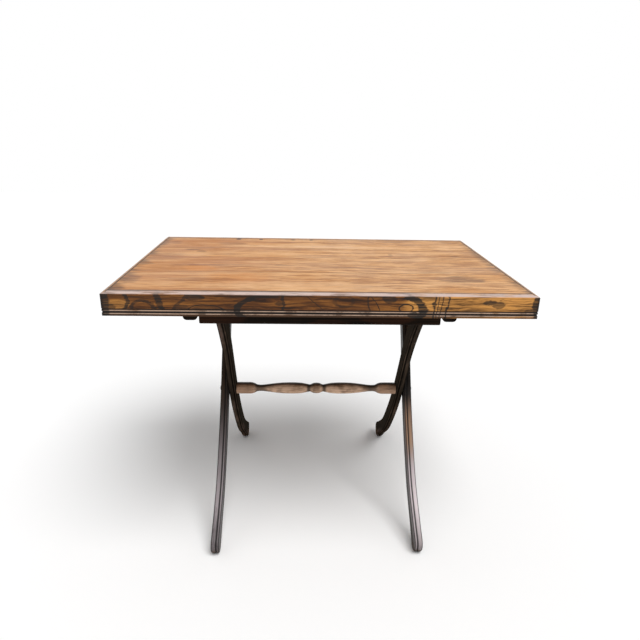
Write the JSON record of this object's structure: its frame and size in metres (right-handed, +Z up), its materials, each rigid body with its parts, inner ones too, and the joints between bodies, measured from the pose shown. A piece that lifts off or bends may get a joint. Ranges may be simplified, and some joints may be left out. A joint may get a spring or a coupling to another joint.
{
  "type": "folding occasional table",
  "caption": "Folding occasional table with a moulded board top on crossed sabre legs and a turned stretcher; the top tilts up as the legs close together.",
  "frame": {"origin": "on the floor, under the middle of the top", "axes": "+X along the top's length to the right, +Y from the front to the back, +Z up; the front is the side where the top is hinged"},
  "size_m": [0.914, 0.606, 0.685],
  "materials": {
    "top_wood": "worn satin varnish",
    "edging_wood": "figured, worn satin varnish",
    "dark_wood": "dark stained, satin",
    "leg_wood": "dark stained, worn pale at the feet",
    "turned_wood": "dark stained, worn on the turned swellings",
    "dowel_wood": "bare",
    "iron": "dull, dark",
    "screw_steel": "dull, aged"
  },
  "bodies": {
    "inner_frame": {"front_rail": "dark_wood", "left_hinge_pin": "iron", "right_hinge_pin": "iron", "front_rail_dowels": "dowel_wood", "left_inner_leg": "leg_wood", "right_inner_leg": "leg_wood", "stretcher": "turned_wood", "left_pivot_bolt": "iron", "right_pivot_bolt": "iron", "left_washer": "iron", "right_washer": "iron"},
    "table_top": {"board_1": "top_wood", "board_2": "top_wood", "board_3": "top_wood", "board_4": "top_wood", "front_edging": "edging_wood", "back_edging": "edging_wood", "left_edging": "edging_wood", "right_edging": "edging_wood", "edging_brads": "screw_steel", "left_bearer": "dark_wood", "right_bearer": "dark_wood", "bearer_screws": "screw_steel", "rear_cleat": "dark_wood", "cleat_screws": "screw_steel", "stop_strip": "dark_wood", "strip_screws": "screw_steel"},
    "outer_frame": {"rear_rail": "dark_wood", "rear_rail_dowels": "dowel_wood", "left_outer_leg": "leg_wood", "right_outer_leg": "leg_wood"}
  },
  "joints": [
    {"name": "top_tilt", "type": "hinge", "parent": "inner_frame", "child": "table_top", "pos_m": [0, -0.189, 0.6137], "axis": [1, 0, 0], "range_deg": [0, 36]},
    {"name": "leg_fold", "type": "hinge", "parent": "inner_frame", "child": "outer_frame", "pos_m": [0, 0, 0.32], "axis": [1, 0, 0], "range_deg": [0, 54]}
  ],
  "couplings": [
    {"joint": "leg_fold", "follows": "top_tilt", "ratio": 1.5}
  ]
}
